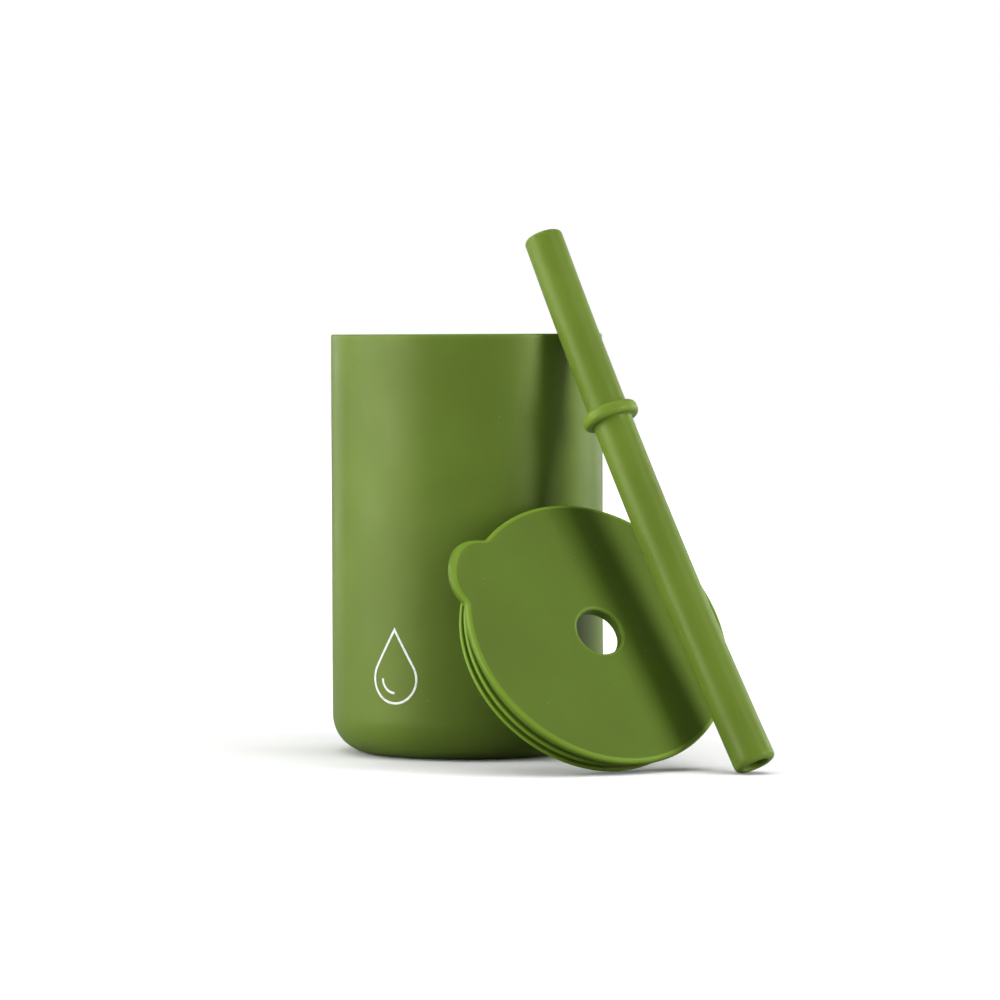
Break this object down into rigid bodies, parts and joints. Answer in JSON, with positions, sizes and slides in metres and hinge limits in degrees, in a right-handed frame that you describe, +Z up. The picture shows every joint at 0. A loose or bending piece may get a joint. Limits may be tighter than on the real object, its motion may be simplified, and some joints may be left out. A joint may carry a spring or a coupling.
{
  "type": "straw cup",
  "caption": "Soft silicone cup for a small child, with a flat lid that plugs into it and a thick straw with a stop collar, taken apart.",
  "frame": {"origin": "centre of the cup's base, on the surface that the cup stands on", "axes": "+Z up along the cup's axis, out of its mouth; -Y is the front, where the lid and the straw lean; +X is to the right seen from the front"},
  "size_m": [0.1071, 0.1075, 0.1302],
  "materials": {
    "cup_silicone": "matte silicone, olive green",
    "lid_silicone": "matte silicone, olive green",
    "straw_silicone": "satin silicone, olive green",
    "ink": "matte white printed ink"
  },
  "bodies": {
    "cup": {"cup": "cup_silicone", "printed_mark": "ink"},
    "lid": {"lid": "lid_silicone"},
    "straw": {"straw": "straw_silicone"}
  },
  "joints": [
    {"name": "lid_slide", "type": "slide", "parent": "cup", "child": "lid", "axis": [-0.7998, -0.5199, 0.2999], "range_m": [0, 0.09]},
    {"name": "straw_lift", "type": "slide", "parent": "cup", "child": "straw", "axis": [0.5, -0.5, 0.7071], "range_m": [0, 0.1]}
  ]
}
